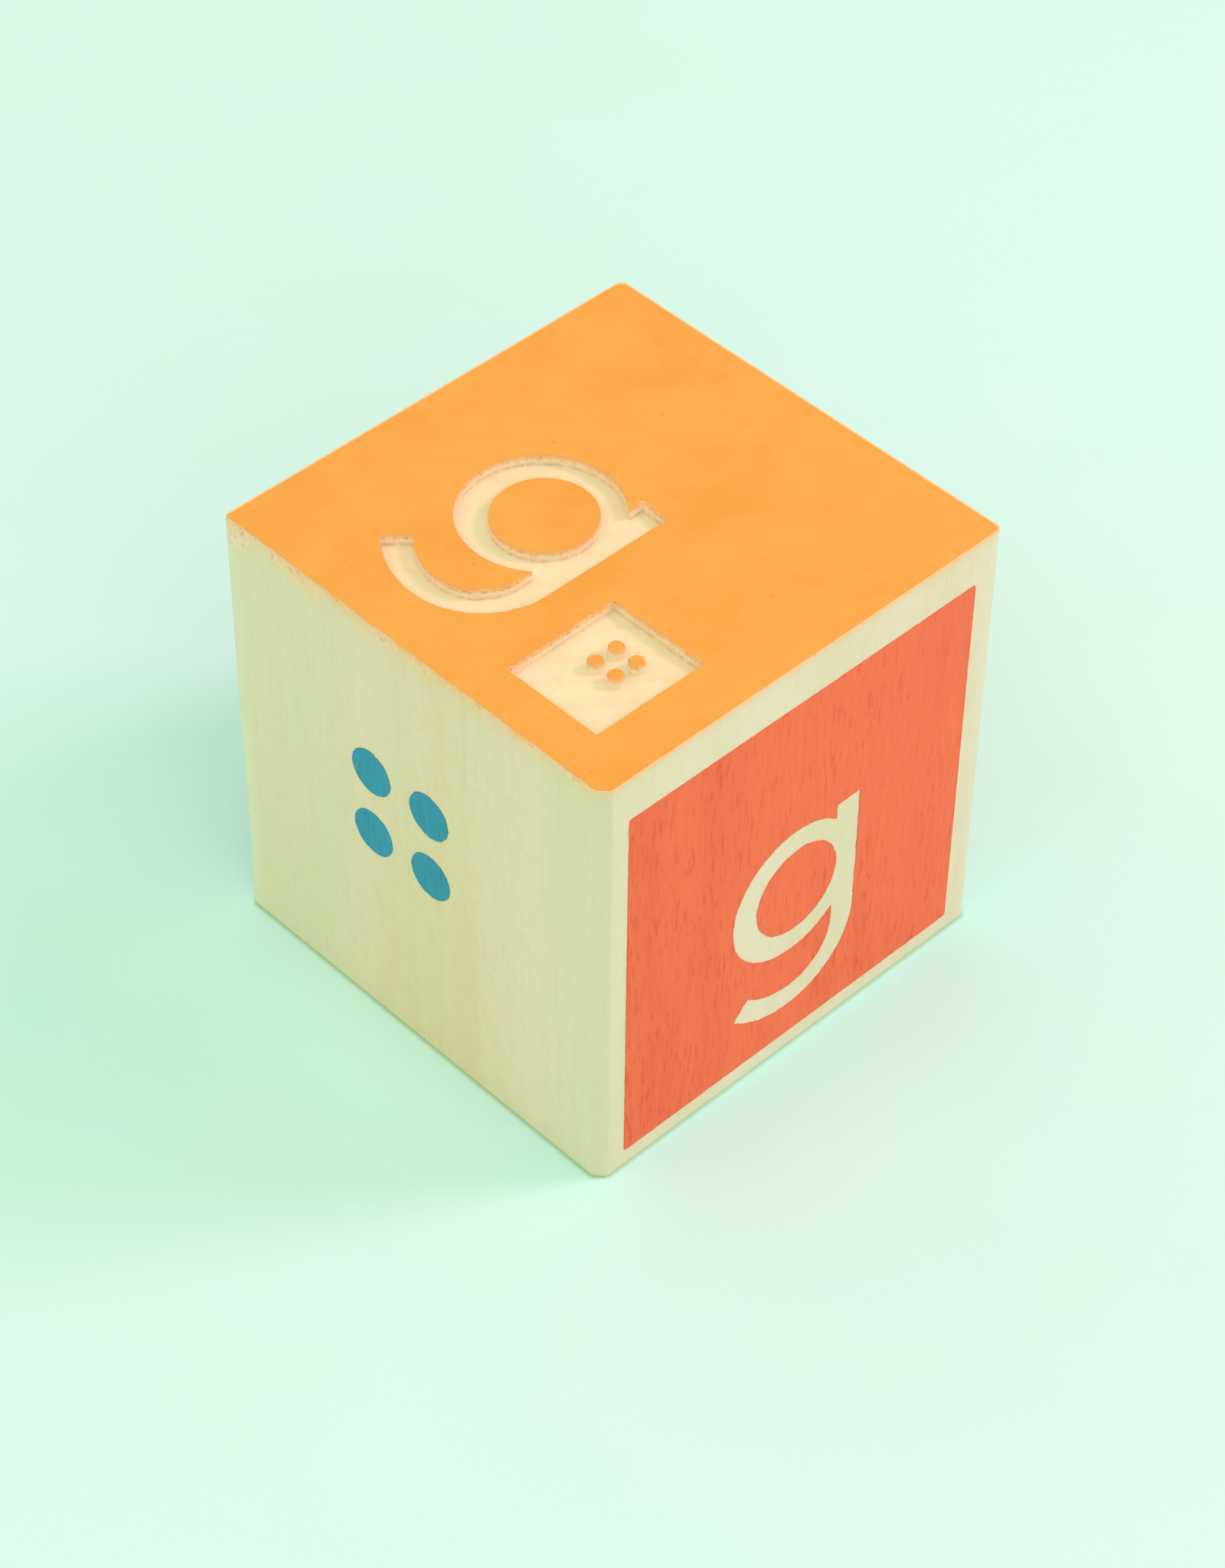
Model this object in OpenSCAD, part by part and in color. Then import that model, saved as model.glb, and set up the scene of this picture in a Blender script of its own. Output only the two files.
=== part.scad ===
// Alphabet block: one solid cube of pale wood with its long grain upright.
// The top is coated, and a letter and a dot cell are carved through the coat into the wood.
// The four sides are printed, and the underside is bare.
// Millimetres. The origin is the middle of the underside, with Z up.
// The front is at -Y, the left at -X and the top at +Z.

/* [Wooden cube] */
// Width of the cube, from the left face to the right face
block_width = 44.3; // [43:0.1:60]
// Depth of the cube, from the front face to the back face
block_depth = 43.9; // [43:0.1:60]
// Height of the cube, along the grain
block_height = 45.1; // [43.5:0.1:60]
// Leg of the planed flat on the upright edge between the front and the left face
front_left_flat = 0.9; // [0.1:0.05:1.2]
// Leg of the planed flat on the upright edge between the front and the right face
front_right_flat = 0.35; // [0.1:0.05:1.2]
// Leg of the planed flat on the upright edge between the back and the left face
back_left_flat = 0.2; // [0.1:0.05:1.2]
// Leg of the planed flat on the upright edge between the back and the right face
back_right_flat = 0.5; // [0.1:0.05:1.2]

/* [Ink] */
// Thickness of a layer of ink
ink_thickness = 0.05; // [0.02:0.01:0.2]

/* [Letter] */
// Radius of the round hole in the letter's bowl
counter_radius = 4.62; // [4:0.02:5]
// Radius of the bowl's outer circle
bowl_radius = 6.98; // [6.5:0.02:7.4]
// How far the bowl's outer circle lies left of the round hole
bowl_shift = 0.39; // [0:0.01:0.8]
// From the middle of the round hole to the stem's right side
stem_reach = 7.04; // [6.6:0.02:7.5]
// Width of the stem
stem_width = 2.66; // [2.4:0.02:3]
// From the middle of the round hole up to the stem's top
stem_rise = 6.67; // [6:0.01:7.5]
// Stroke of the hook at its lowest point
hook_stroke = 2.39; // [2:0.01:2.8]
// From the middle of the round hole down to the hook's lowest point
hook_drop = 13.8; // [13:0.1:14.5]
// How far the hook's lowest point lies left of the round hole
hook_shift = 0.33; // [0:0.01:0.8]
// Outer radius of the hook's tail, left of its lowest point
tail_radius = 9.8; // [9:0.1:11]
// Angle that the printed letter's tail sweeps, from the hook's lowest point to its cut end
tail_sweep = 42; // [30:1:55]

/* [Carving in the top] */
// Depth of the carved letter and pocket
carve_depth = 1; // [0.4:0.1:3]
// How far the middle of the carved letter's round hole lies left of the face's middle
carved_letter_shift = 4.3; // [3:0.1:5]
// How far the middle of the carved letter's round hole lies below the face's middle
carved_letter_drop = 3.5; // [2:0.1:4]
// How far each side of the carved letter's stroke lies outside the printed one's
carved_spread = 0.08; // [0:0.01:0.3]
// Angle that the carved letter's tail sweeps
carved_tail_sweep = 43.5; // [30:0.5:55]
// Width of the pocket that holds the raised dots
pocket_width = 9.9; // [8:0.1:11]
// Height of the pocket, as the letter is read
pocket_height = 11.4; // [10:0.1:13]
// From the pocket's right side to the front face
pocket_right_land = 5.15; // [3:0.05:6]
// From the pocket's lower side to the left face
pocket_lower_land = 4.25; // [3:0.05:6]
// Diameter of a raised dot
raised_dot_diameter = 1.4; // [1:0.1:1.8]
// Spacing of the raised dots
raised_dot_pitch = 2.25; // [2:0.05:3]

/* [Printed panels] */
// Side of the square printed panel
panel_side = 38.8; // [36:0.1:40]
// Radius of the printed panel's corners
panel_corner = 0.4; // [0.1:0.1:2]
// How far the panel's middle lies below the face's middle
panel_drop = 1.27; // [0:0.01:1.4]
// How far the middle of the printed letter's round hole lies below the face's middle
printed_letter_drop = 3.33; // [2:0.01:4]

/* [Printed dots] */
// Diameter of a printed dot
printed_dot_diameter = 4.65; // [4:0.05:6]
// Spacing of the printed dots
printed_dot_pitch = 6.95; // [6.5:0.05:8]
// How far the middle of the dot cell lies left of the face's middle
cell_shift = 1.5; // [0:0.1:3]
// How far the middle of the dot cell lies below the face's middle
cell_drop = 1.2; // [0:0.1:3]

/* [Hidden] */

// Segments of a round outline
$fn = 96;

// Colours of the bare wood and of the inks
wood_colour = [0.90, 0.86, 0.70];
orange_ink = [0.98, 0.64, 0.27];
red_ink = [0.90, 0.40, 0.29];
blue_ink = [0.22, 0.58, 0.66];

// Half sizes of the cube
half_width = block_width / 2;
half_depth = block_depth / 2;
half_height = block_height / 2;

// How far a cutting shape stands out of the wood that it cuts
overrun = carve_depth;

// Radii of the quarter turn from the stem into the hook
turn_outer = stem_reach + hook_shift;
turn_inner = turn_outer - stem_width;
// Heights of the middles of those quarter turns, from the middle of the round hole
turn_outer_y = turn_outer - hook_drop;
turn_inner_y = turn_inner + hook_stroke - hook_drop;
// Height of the middle of the tail's arcs, from the middle of the round hole
tail_y = tail_radius - hook_drop;

// Middle of the pocket on the top face, as the letter is read
pocket_x = half_depth - pocket_right_land - pocket_width / 2;
pocket_y = pocket_lower_land + pocket_height / 2 - half_width;

// A cell has two columns and three rows, and this letter fills its upper two rows.
// A dot's place is its column and its row, as shares of the pitch, from the middle of the cell.
cell_dot_shares = [[-0.5, 1], [-0.5, 0], [0.5, 1], [0.5, 0]];

// Outline of the cube's upright walls, with a flat planed on each edge
module block_outline() {
    polygon([
        [front_left_flat - half_width, -half_depth],
        [half_width - front_right_flat, -half_depth],
        [half_width, front_right_flat - half_depth],
        [half_width, half_depth - back_right_flat],
        [half_width - back_right_flat, half_depth],
        [back_left_flat - half_width, half_depth],
        [-half_width, half_depth - back_left_flat],
        [-half_width, front_left_flat - half_depth]
    ]);
}

// A letter's spread is how far each side of its stroke lies outside the plain letter's.
// The round hole in the letter's bowl, with its middle at the origin
module counter(spread = 0) {
    circle(r = counter_radius - spread);
}

// A column right of the hook's lowest point that ends below in a quarter turn
module turn(radius, middle_y, top) {
    translate([-hook_shift, middle_y])
        intersection() {
            union() {
                circle(r = radius);
                translate([-radius, 0])
                    square([2 * radius, top - middle_y]);
            }
            translate([0, -radius])
                square([radius, radius + top - middle_y]);
        }
}

// The stem and the turn at its foot, as an outer column less an inner one
module stem_and_turn(spread) {
    top = stem_rise + spread;
    difference() {
        turn(turn_outer + spread, turn_outer_y, top);
        turn(turn_inner - spread, turn_inner_y, top);
    }
}

// The tail, a slice of a ring from the hook's lowest point to its cut end
module tail(spread, sweep) {
    reach = 2 * tail_radius;
    translate([-hook_shift, tail_y])
        intersection() {
            difference() {
                circle(r = tail_radius + spread);
                circle(r = tail_radius - hook_stroke - spread);
            }
            polygon([
                [0, 0],
                [0, -reach],
                [-reach * tan(sweep), -reach]
            ]);
        }
}

// The whole letter, a lower-case g, with the middle of its round hole at the origin
module letter(spread = 0, sweep = tail_sweep) {
    difference() {
        union() {
            translate([-bowl_shift, 0])
                circle(r = bowl_radius + spread);
            stem_and_turn(spread);
            tail(spread, sweep);
        }
        counter(spread);
    }
}

// One dot of a cell
module dot(index, pitch, diameter) {
    translate(cell_dot_shares[index] * pitch)
        circle(d = diameter);
}

// The square outline of a printed panel, with its corners rounded
module panel_outline() {
    inner = panel_side - 2 * panel_corner;
    square([panel_side, inner], center = true);
    square([inner, panel_side], center = true);
    for (x = [-1, 1], y = [-1, 1])
        translate([x, y] * inner / 2)
            circle(r = panel_corner);
}

// Each of these puts a flat shape on a face, with X to the reader's right and Y up
module on_top() {
    translate([0, 0, block_height])
        rotate([0, 0, -90])
            children();
}

module on_front() {
    translate([0, -half_depth, half_height])
        rotate([90, 0, 0])
            children();
}

module on_back() {
    rotate([0, 0, 180])
        on_front()
            children();
}

module on_left() {
    translate([-half_width, 0, half_height])
        rotate([90, 0, -90])
            children();
}

module on_right() {
    rotate([0, 0, 180])
        on_left()
            children();
}

// A layer of ink as thick as a print
module ink() {
    linear_extrude(ink_thickness)
        children();
}

module at_carved_letter() {
    translate([-carved_letter_shift, -carved_letter_drop])
        children();
}

// The carved letter and its round hole, each in its place on the top face
module carved_letter() {
    at_carved_letter()
        letter(carved_spread, carved_tail_sweep);
}

module carved_counter() {
    at_carved_letter()
        counter(carved_spread);
}

module at_printed_letter() {
    translate([0, -printed_letter_drop])
        children();
}

module at_pocket() {
    translate([pocket_x, pocket_y])
        children();
}

module at_printed_cell() {
    translate([-cell_shift, -cell_drop])
        children();
}

// The pocket's outline
module pocket() {
    at_pocket()
        square([pocket_width, pocket_height], center = true);
}

// What is carved out of the top: the letter, and the pocket round its four raised dots
module carving() {
    carved_letter();
    difference() {
        pocket();
        at_pocket()
            for (index = [0 : len(cell_dot_shares) - 1])
                dot(index, raised_dot_pitch, raised_dot_diameter);
    }
}

// The solid cube of wood
module wood_block() {
    color(wood_colour)
        difference() {
            linear_extrude(block_height)
                block_outline();
            on_top()
                translate([0, 0, -carve_depth])
                    linear_extrude(carve_depth + overrun)
                        carving();
        }
}

// The coat on the top face, cut through by the letter and by the pocket
module top_coat() {
    color(orange_ink)
        difference() {
            translate([0, 0, block_height])
                ink()
                    block_outline();
            on_top()
                translate([0, 0, -overrun])
                    linear_extrude(2 * overrun)
                        union() {
                            carved_letter();
                            carved_counter();
                            pocket();
                        }
        }
}

// The round island of coat inside the carved letter
module top_coat_counter() {
    color(orange_ink)
        on_top()
            ink()
                carved_counter();
}

// The coat left on the top of one raised dot
module dot_cap(index) {
    color(orange_ink)
        on_top()
            ink()
                at_pocket()
                    dot(index, raised_dot_pitch, raised_dot_diameter);
}

// A printed panel with its letter left bare
module panel() {
    ink()
        difference() {
            translate([0, -panel_drop])
                panel_outline();
            at_printed_letter()
                letter();
            at_printed_letter()
                counter();
        }
}

// The round island of ink inside a panel's letter
module panel_counter() {
    ink()
        at_printed_letter()
            counter();
}

// One printed dot
module printed_dot(index) {
    ink()
        at_printed_cell()
            dot(index, printed_dot_pitch, printed_dot_diameter);
}

module front_panel() {
    color(red_ink)
        on_front()
            panel();
}

module front_panel_counter() {
    color(red_ink)
        on_front()
            panel_counter();
}

module left_dot(index) {
    color(blue_ink)
        on_left()
            printed_dot(index);
}

module back_panel() {
    color(blue_ink)
        on_back()
            panel();
}

module back_panel_counter() {
    color(blue_ink)
        on_back()
            panel_counter();
}

module right_dot(index) {
    color(red_ink)
        on_right()
            printed_dot(index);
}

wood_block();
top_coat();
top_coat_counter();
dot_cap(0);  // dot_cap_1
dot_cap(1);  // dot_cap_2
dot_cap(2);  // dot_cap_3
dot_cap(3);  // dot_cap_4
front_panel();
front_panel_counter();
left_dot(0);  // left_dot_1
left_dot(1);  // left_dot_2
left_dot(2);  // left_dot_3
left_dot(3);  // left_dot_4
back_panel();
back_panel_counter();
right_dot(0);  // right_dot_1
right_dot(1);  // right_dot_2
right_dot(2);  // right_dot_3
right_dot(3);  // right_dot_4
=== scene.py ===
import math

import bmesh
import bpy
import numpy as np
from bpy.props import FloatProperty, FloatVectorProperty, IntProperty, PointerProperty
from bpy.types import Operator, Panel, PropertyGroup
from mathutils import Matrix, Vector
from mathutils.geometry import delaunay_2d_cdt


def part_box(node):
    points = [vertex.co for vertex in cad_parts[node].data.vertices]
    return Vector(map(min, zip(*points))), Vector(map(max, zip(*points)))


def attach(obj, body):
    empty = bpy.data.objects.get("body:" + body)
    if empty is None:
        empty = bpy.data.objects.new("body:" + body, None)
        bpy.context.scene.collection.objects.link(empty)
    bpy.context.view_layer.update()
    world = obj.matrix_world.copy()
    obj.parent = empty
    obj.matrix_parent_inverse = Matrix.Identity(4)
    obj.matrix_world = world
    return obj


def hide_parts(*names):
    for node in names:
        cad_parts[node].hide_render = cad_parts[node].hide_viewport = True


bl_info = {
    "name": "Alphabet Block",
    "version": (1, 0, 0),
    "blender": (4, 5, 0),
    "location": "View3D > Sidebar > Block",
    "description": "Builds a wooden alphabet block with a carved top and printed sides",
    "category": "Add Mesh",
}

# The block stands on the floor with its middle over the origin, its front at -Y and its left at -X.
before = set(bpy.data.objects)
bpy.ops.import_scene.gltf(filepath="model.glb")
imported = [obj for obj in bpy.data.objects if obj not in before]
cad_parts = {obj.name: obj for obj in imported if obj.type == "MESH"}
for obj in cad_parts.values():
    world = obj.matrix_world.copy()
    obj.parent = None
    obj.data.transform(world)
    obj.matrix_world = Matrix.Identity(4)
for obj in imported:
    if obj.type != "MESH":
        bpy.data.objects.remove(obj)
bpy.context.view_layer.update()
BODY = "root"
MM = 0.001


def corners(node):
    """The lowest and highest corners of a node of the frame, as arrays."""
    return tuple(np.array(corner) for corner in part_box(node))


LOW, HIGH = corners("wood_block")
SIZE = HIGH - LOW


def srgb(red, green, blue):
    """A colour given as bytes on a screen, in linear light."""
    shares = (np.array([red, green, blue]) / 255 + 0.055) / 1.055
    return tuple(float(share) for share in shares ** 2.4)


def length(name, description, default, largest=0.1):
    """A property for a size, given in millimetres."""
    return FloatProperty(
        name=name, description=description, default=default * MM,
        min=0, max=largest, precision=5, unit="LENGTH", subtype="DISTANCE")


def colour(name, description, default):
    """A property for a colour, in linear light."""
    return FloatVectorProperty(
        name=name, description=description, default=default,
        min=0, max=2, size=3, subtype="COLOR")


def angle(name, description, default):
    """A property for an angle, given in degrees."""
    return FloatProperty(
        name=name, description=description, default=math.radians(default),
        min=-math.pi, max=math.pi, unit="ROTATION", subtype="ANGLE")


def number(name, description, default):
    """A property for a plain number."""
    return FloatProperty(name=name, description=description, default=default, min=0, max=1000)


class LetterSizes(PropertyGroup):
    """The letter's strokes, measured from the middle of its round hole."""
    bowl_radius: length("Bowl radius", "Radius of the bowl's outer circle", 6.98)
    bowl_shift: length("Bowl shift", "How far the bowl's circle lies left of the round hole", 0.39)
    stem_reach: length("Stem reach", "From the round hole's middle to the stem's right side", 7.04)
    stem_width: length("Stem width", "Width of the stem", 2.66)
    stem_rise: length("Stem rise", "From the round hole's middle up to the stem's top", 6.67)
    hook_stroke: length("Hook stroke", "Stroke of the hook at its lowest point", 2.39)
    hook_drop: length("Hook drop", "From the round hole's middle down to the hook", 13.8)
    hook_shift: length("Hook shift", "How far the hook's lowest point lies left", 0.33)
    tail_radius: length("Tail radius", "Outer radius of the hook's tail", 9.8)
    tail_sweep: angle("Tail sweep", "Angle that the printed tail sweeps", 42)
    carved_sweep: angle("Carved tail sweep", "Angle that the carved tail sweeps", 43.5)
    carved_spread: length("Carved spread", "How far the carved stroke is wider on each side", 0.08)


class BlockSizes(PropertyGroup):
    """The block's edges and its carving."""
    front_left_flat: length("Front left flat", "Leg of the flat on the front left edge", 0.9)
    front_right_flat: length("Front right flat", "Leg of the flat on the front right edge", 0.35)
    back_left_flat: length("Back left flat", "Leg of the flat on the back left edge", 0.2)
    back_right_flat: length("Back right flat", "Leg of the flat on the back right edge", 0.5)
    arris: length("Arris", "How far the edges round the top are worn back", 0.06)
    foot: length("Foot", "How far the edges round the bottom are worn back", 0.26)
    carve_depth: length("Carve depth", "Depth of the carving in the top", 1.0)
    pocket_width: length("Pocket width", "Width of the pocket round the raised dots", 9.9)
    pocket_height: length("Pocket height", "Height of the pocket round the raised dots", 11.4)
    step: length("Step", "Spacing of the points along an outline", 0.1)
    tear: length("Tear", "How far the fibres break out at a rough rim", 0.2)
    torn_band: length("Torn band", "Height of the torn band under the left side's top edge", 1.5)
    fibres: IntProperty(name="Fibres", description="Loose ends of fibre on the rough rims", default=420)


class PrintSizes(PropertyGroup):
    """The printed panels and dots."""
    panel_corner: length("Panel corner", "Radius of the panel's corners", 0.3)
    bleed: length("Bleed", "How far the ink creeps along the fibres at its edge", 0.03)
    edge_line: length("Edge line", "Width of the thicker ink along a print's edge", 0.14)


class BlockColours(PropertyGroup):
    """Colours of the wood, the inks and the paper that the block stands on."""
    wood_pale: colour("Pale wood", "Pale early wood", srgb(236, 219, 204))
    wood_warm: colour("Warm wood", "Warmer late wood", srgb(227, 202, 164))
    wood_cool: colour("Cool wood", "Greener heartwood bands", srgb(213, 213, 175))
    # Grain flecks, and also the painted shade growing towards the foot of a carved wall
    wood_fleck_and_shade: colour("Fleck", "Thin darker vessels in the wood", srgb(192, 166, 130))
    # Painted shade where the block meets the floor, tinted green by the paper
    contact_shade: colour("Contact", "Wood just above the floor, green from the paper", srgb(140, 196, 130))
    # Painted reflection of the pale green paper, paler and greener, beside the front right and back left
    # edges
    rim_reflection: colour("Rim", "Wood beside the front right and back left edges", srgb(222, 237, 228))
    wood_stained: colour("Stained", "Wood just below the coat, which drank some of it", srgb(250, 172, 92))
    end_pale: colour("Pale end grain", "Cut end grain", srgb(236, 218, 191))
    end_warm: colour("Warm end grain", "Late wood in the end grain", srgb(229, 203, 168))
    torn_pale: colour("Torn wood", "Fresh torn fibres", srgb(246, 228, 202))
    torn_pink: colour("Pink fibres", "Rough fibres with a pink cast", srgb(247, 212, 188))
    torn_rim: colour("Torn rim", "Torn patches under the left side's top edge", srgb(245, 204, 171))
    # Torn specks, and also the painted crevice shade along the foot of a carved wall and on the floor
    # beside it
    torn_dark_and_shade: colour("Torn shade", "Dark specks among the torn fibres", srgb(194, 146, 114))
    orange: colour("Orange", "The coat on the top", srgb(233, 157, 72))
    orange_deep: colour("Deep orange", "Where the coat lies thicker", srgb(228, 143, 54))
    coat_pit: colour("Coat pit", "Tiny dark spots in the coat", srgb(190, 119, 63))
    red: colour("Red", "The front panel and the right dots", srgb(246, 112, 71))
    red_deep: colour("Deep red", "Grain that shows through the red", srgb(224, 79, 45))
    blue: colour("Blue", "The back panel and the left dots", srgb(47, 148, 183))
    blue_deep: colour("Deep blue", "Grain that shows through the blue", srgb(33, 126, 155))
    paper: colour("Paper", "The pale paper under the block", (0.603, 0.82, 0.896))
    paper_cloud: colour("Paper cloud", "Faint clouds in the paper", (0.5, 0.8, 0.7))
    paper_contact: colour("Paper contact", "Shade where the paper meets the block", (0.42, 0.56, 0.3))


class StageSizes(PropertyGroup):
    """The camera, the lights and the paper."""
    turn: angle("Turn", "Camera's turn from looking at the front, towards the left side", -44.4)
    rise: angle("Rise", "Camera's angle above the floor", 44.987)
    roll: angle("Roll", "Camera's roll", 0.71)
    aim_height: length("Aim height", "Height of the point that the camera looks at", 22.15)
    distance: length("Distance", "From the camera to the point that it looks at", 343.66, 2)
    shift_right: length("Shift right", "How far the camera stands to the right", 0.15)
    shift_down: length("Shift down", "How far the camera stands below its aim", 4.803)
    focal: number("Focal length", "Focal length in millimetres on a 36 mm frame", 93.946)
    paper_radius: length("Paper radius", "Radius of the paper", 2500, 10)
    key_power: number("Key power", "Watts of the light on the right", 2.855)
    top_power: number("Top power", "Watts of the light overhead", 0.654)
    fill_power: number("Fill power", "Watts of the light on the left", 2.351)
    front_power: number("Front power", "Watts of the light by the camera", 2.544)
    room: colour("Room", "Light from all round", (0.747, 0.903, 0.588))


class Face:
    """One face of the block, with its middle and its reader's right, up and outward directions."""

    def __init__(self, middle, right, up):
        self.middle = np.array(middle, float)
        self.right = np.array(right, float)
        self.up = np.array(up, float)
        self.out = np.cross(self.right, self.up)

    def place(self, flat, rise=0.0):
        """Points of the room for flat points: right times x, plus up times y, plus out times the rise."""
        rise = np.broadcast_to(rise, flat.shape[:-1])[..., None]
        return self.middle + flat[..., :1] * self.right + flat[..., 1:] * self.up + rise * self.out

    def read(self, point):
        """Where a point of the room lies on the face, as its reader sees it."""
        offset = np.asarray(point) - self.middle
        return np.array([offset @ self.right, offset @ self.up])


MID_Z = SIZE[2] / 2
TOP = Face((0, 0, SIZE[2]), (0, -1, 0), (1, 0, 0))
FRONT = Face((0, LOW[1], MID_Z), (1, 0, 0), (0, 0, 1))
BACK = Face((0, HIGH[1], MID_Z), (-1, 0, 0), (0, 0, 1))
LEFT = Face((LOW[0], 0, MID_Z), (0, -1, 0), (0, 0, 1))
RIGHT = Face((HIGH[0], 0, MID_Z), (0, 1, 0), (0, 0, 1))

# How far the ink ran down each raised dot, as a share of the carving's depth, and how far the
# edge of its flat top is rounded off
DOT_RUN = 0.06
DOT_CREST = 0.07 * MM

# The side of each cut that faces up and left as the letter is read came off the cutter rough
ROUGH_SIDE = np.array([-0.71, 0.70])

# Rows of points down a carved wall, as shares of its depth
WALL_ROWS = np.array([0, 0.02, 0.05, 0.1, 0.16, 0.24, 0.34, 0.46, 0.6, 0.75, 0.88, 1.0])

# Rows of points over a worn edge, as shares of its reach, and how far below the top the block's
# sides have fine rows
EDGE_ROWS = np.array([0, 0.08, 0.2, 0.4, 0.7, 1.0])
FINE_ROWS = np.linspace(0.12, 1.7, 20) * MM

# How far a weak spot of a rim reaches, how far a sharp corner calms the rim beside it, and the
# least gap between the rim and the coat's edge
SPOT_REACH = 0.9 * MM
CALM_REACH = 0.5 * MM
COAT_GAP = 0.01 * MM


def node_circle(face, node):
    """Middle and radius, on a face, of a round node of the frame."""
    low, high = corners(node)
    return face.read((low + high) / 2), float(np.max(high - low)) / 2


# Outlines


def arc(middle, radius, start, end, step):
    """Points at the middle plus the radius times (cosine, sine) of an angle that runs evenly."""
    count = max(3, int(abs(end - start) * radius / step))
    turn = np.linspace(start, end, count)
    return np.asarray(middle) + radius * np.stack([np.cos(turn), np.sin(turn)], 1)


def circle(middle, radius, step):
    """A full circle's points, anticlockwise."""
    return arc(middle, radius, 0, 2 * math.pi, step)[:-1]


def even(points, step):
    """The same closed line with points at equal steps of the length along it."""
    closed = np.vstack([points, points[:1]])
    along = np.append(0, np.cumsum(np.linalg.norm(np.diff(closed, axis=0), axis=1)))
    places = np.linspace(0, along[-1], int(along[-1] / step), endpoint=False)
    return np.stack([np.interp(places, along, closed[:, axis]) for axis in (0, 1)], 1)


def soften(values, step, reach):
    """Values round a closed line, smoothed by a Gaussian of that reach along the line."""
    waves = np.fft.rfftfreq(len(values), step)
    keep = np.exp(-2 * (math.pi * waves * reach) ** 2)
    keep = keep.reshape(-1, *[1] * (values.ndim - 1))
    return np.fft.irfft(np.fft.rfft(values, axis=0) * keep, len(values), axis=0)


def outward(loop):
    """Unit directions out of an anticlockwise loop: its tangent turned a quarter clockwise."""
    along = np.roll(loop, -1, axis=0) - np.roll(loop, 1, axis=0)
    along = along / np.linalg.norm(along, axis=1, keepdims=True)
    return np.stack([along[:, 1], -along[:, 0]], 1)


def wander(rng, shape, steps, grains):
    """Smooth chance values on a closed grid, with mean 0 and spread 1: white noise times a
    Gaussian of the wave numbers, with one grain size along each side of the grid."""
    waves = np.fft.fft2(rng.standard_normal(shape))
    for axis in (0, 1):
        turns = np.fft.fftfreq(shape[axis], steps[axis]) * grains[axis]
        keep = np.exp(-2 * (math.pi * turns) ** 2)
        waves = waves * keep.reshape([-1, 1] if axis == 0 else [1, -1])
    values = np.fft.ifft2(waves).real
    return (values - values.mean()) / values.std()


def wander_along(rng, line, step, grain):
    """Smooth chance values round a closed line, with mean 0, spread 1 and a grain in millimetres."""
    return wander(rng, (1, len(line)), (1, step), (0, grain * MM))[0]


def smooth(values):
    """The cubic that eases from 0 to 1, as 3 t squared less 2 t cubed."""
    values = np.clip(values, 0, 1)
    return values * values * (3 - 2 * values)


def letter_outline(sizes, middle, spread, sweep, step):
    """The outer boundary of the lower-case g, anticlockwise from the top of its stem: down the stem
    to the bowl, round the bowl's circle, down to the hook's inner quarter turn, along the tail's
    inner arc, across its cut end, and back along the outer arcs to the stem."""
    right = sizes.stem_reach + spread
    left = sizes.stem_reach - sizes.stem_width - spread
    top = sizes.stem_rise + spread
    bowl = sizes.bowl_radius + spread
    crossing = math.acos((left + sizes.bowl_shift) / bowl)
    turn_outer = sizes.stem_reach + sizes.hook_shift
    turn_inner = turn_outer - sizes.stem_width
    outer_y = turn_outer - sizes.hook_drop
    inner_y = turn_inner + sizes.hook_stroke - sizes.hook_drop
    tail_y = sizes.tail_radius - sizes.hook_drop
    down = -math.pi / 2
    tail_inner = sizes.tail_radius - sizes.hook_stroke - spread
    tail_outer = sizes.tail_radius + spread
    foot = (-sizes.hook_shift, tail_y)
    parts = [
        np.array([[right, top], [left, top]]),
        arc((-sizes.bowl_shift, 0), bowl, crossing, 2 * math.pi - crossing, step),
        arc((-sizes.hook_shift, inner_y), turn_inner - spread, 0, down, step),
        arc(foot, tail_inner, down, down - sweep, step),
        arc(foot, tail_outer, down - sweep, down, step),
        arc((-sizes.hook_shift, outer_y), turn_outer + spread, down, 0, step),
    ]
    return even(np.concatenate(parts) + middle, step)


def box_outline(middle, width, height, radius, step):
    """A rectangle with round corners, anticlockwise: four quarter circles joined by straight sides."""
    reach = np.array([width / 2 - radius, height / 2 - radius])
    signs = np.array([[1, 1], [-1, 1], [-1, -1], [1, -1]])
    quarter = math.pi / 2
    turns = [
        arc(middle + sign * reach, radius, index * quarter, (index + 1) * quarter, step)
        for index, sign in enumerate(signs)]
    return even(np.concatenate(turns), step)


def block_outline(sizes, step):
    """The block seen from above, anticlockwise, with a flat across each upright edge."""
    x, y = HIGH[:2]
    points = [
        (sizes.front_left_flat - x, -y), (x - sizes.front_right_flat, -y),
        (x, sizes.front_right_flat - y), (x, y - sizes.back_right_flat),
        (x - sizes.back_right_flat, y), (sizes.back_left_flat - x, y),
        (-x, y - sizes.back_left_flat), (-x, sizes.front_left_flat - y)]
    return even(np.array(points), step)


def closest(points, loops):
    """How far each point lies from the closest point of the loops, and which one that is."""
    line = np.concatenate(loops)
    away = []
    which = []
    for part in np.array_split(points, len(points) // 1000 + 1):
        gap = ((part[:, None] - line[None]) ** 2).sum(axis=2)
        away.append(np.sqrt(gap.min(axis=1)))
        which.append(gap.argmin(axis=1))
    return np.concatenate(away), np.concatenate(which)


def inside(points, loops):
    """Whether a line from each point to the right crosses the loops an odd number of times."""
    start = np.concatenate(loops)
    end = np.concatenate([np.roll(loop, -1, axis=0) for loop in loops])
    x, y = points[:, :1], points[:, 1:]
    crosses = (start[:, 1] > y) != (end[:, 1] > y)
    rise = np.where(end[:, 1] == start[:, 1], 1, end[:, 1] - start[:, 1])
    meets = start[:, 0] + (y - start[:, 1]) / rise * (end[:, 0] - start[:, 0])
    return (crosses & (x < meets)).sum(axis=1) % 2 == 1


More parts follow.
